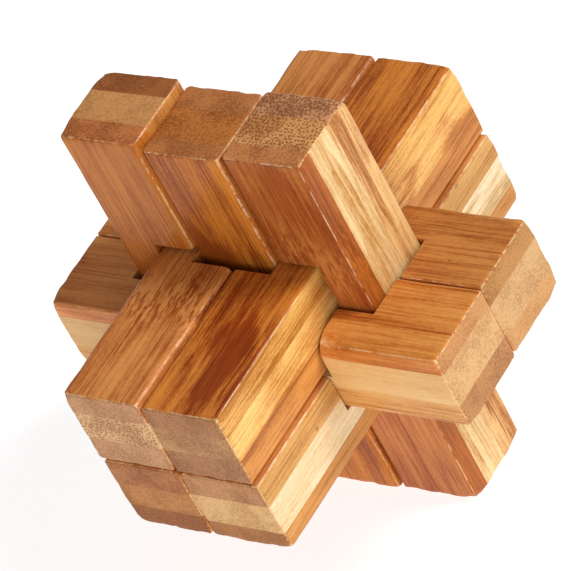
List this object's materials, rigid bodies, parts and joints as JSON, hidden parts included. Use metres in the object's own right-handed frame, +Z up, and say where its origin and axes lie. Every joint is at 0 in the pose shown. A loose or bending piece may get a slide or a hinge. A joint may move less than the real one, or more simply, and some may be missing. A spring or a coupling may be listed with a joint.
{
  "type": "burr puzzle",
  "caption": "Interlocking burr puzzle of square glued-bamboo bars in three directions; a plain key bar slides out upwards and frees the others.",
  "frame": {"origin": "centre of the base, on the plane that the three uprights stand on", "axes": "+Z up along the uprights and the key, +Y rearward along the beams, +X to the right along the crossbars"},
  "size_m": [0.0752, 0.0746, 0.0758],
  "materials": {
    "caramel_bamboo": "satin",
    "natural_bamboo": "satin"
  },
  "bodies": {
    "right_upright": {"right_upright_core_strip": "natural_bamboo", "right_upright_front_strip": "caramel_bamboo", "right_upright_rear_strip": "caramel_bamboo"},
    "left_upright": {"left_upright_core_strip": "natural_bamboo", "left_upright_front_strip": "caramel_bamboo", "left_upright_rear_strip": "caramel_bamboo"},
    "key_bar": {"key_bar_core_strip": "natural_bamboo", "key_bar_front_strip": "caramel_bamboo", "key_bar_rear_strip": "caramel_bamboo"},
    "upper_left_beam": {"upper_left_beam_bottom_strip": "caramel_bamboo", "upper_left_beam_core_strip": "natural_bamboo", "upper_left_beam_top_strip": "caramel_bamboo"},
    "upper_right_beam": {"upper_right_beam_bottom_strip": "caramel_bamboo", "upper_right_beam_core_strip": "natural_bamboo", "upper_right_beam_top_strip": "caramel_bamboo"},
    "lower_left_beam": {"lower_left_beam_bottom_strip": "caramel_bamboo", "lower_left_beam_core_strip": "natural_bamboo", "lower_left_beam_top_strip_front": "caramel_bamboo", "lower_left_beam_top_strip_rear": "caramel_bamboo"},
    "lower_right_beam": {"lower_right_beam_bottom_strip": "caramel_bamboo", "lower_right_beam_core_strip": "natural_bamboo", "lower_right_beam_top_strip_front": "caramel_bamboo", "lower_right_beam_top_strip_rear": "caramel_bamboo"},
    "front_crossbar": {"front_crossbar_bottom_strip": "caramel_bamboo", "front_crossbar_core_strip": "natural_bamboo", "front_crossbar_top_strip_left": "caramel_bamboo", "front_crossbar_top_strip_right": "caramel_bamboo"},
    "rear_crossbar": {"rear_crossbar_bottom_strip": "caramel_bamboo", "rear_crossbar_core_strip": "natural_bamboo", "rear_crossbar_top_strip_left": "caramel_bamboo", "rear_crossbar_top_strip_right": "caramel_bamboo"}
  },
  "joints": [
    {"name": "key_slide", "type": "slide", "parent": "right_upright", "child": "key_bar", "axis": [0, 0, 1], "range_m": [0, 0.077]},
    {"name": "left_upright_play", "type": "slide", "parent": "right_upright", "child": "left_upright", "axis": [0, 0, 1], "range_m": [-0.0008, 0]},
    {"name": "upper_left_beam_play", "type": "slide", "parent": "right_upright", "child": "upper_left_beam", "axis": [0, 1, 0], "range_m": [-0.0012, 0.0012]},
    {"name": "upper_right_beam_play", "type": "slide", "parent": "right_upright", "child": "upper_right_beam", "axis": [0, 1, 0], "range_m": [-0.0012, 0.0012]},
    {"name": "lower_left_beam_play", "type": "slide", "parent": "right_upright", "child": "lower_left_beam", "axis": [0, 1, 0], "range_m": [-0.0011, 0]},
    {"name": "lower_right_beam_play", "type": "slide", "parent": "right_upright", "child": "lower_right_beam", "axis": [0, 1, 0], "range_m": [-0.0011, 0]},
    {"name": "front_crossbar_play", "type": "slide", "parent": "right_upright", "child": "front_crossbar", "axis": [1, 0, 0], "range_m": [-0.0003, 0]},
    {"name": "rear_crossbar_play", "type": "slide", "parent": "right_upright", "child": "rear_crossbar", "axis": [1, 0, 0], "range_m": [0, 0.0011]}
  ]
}
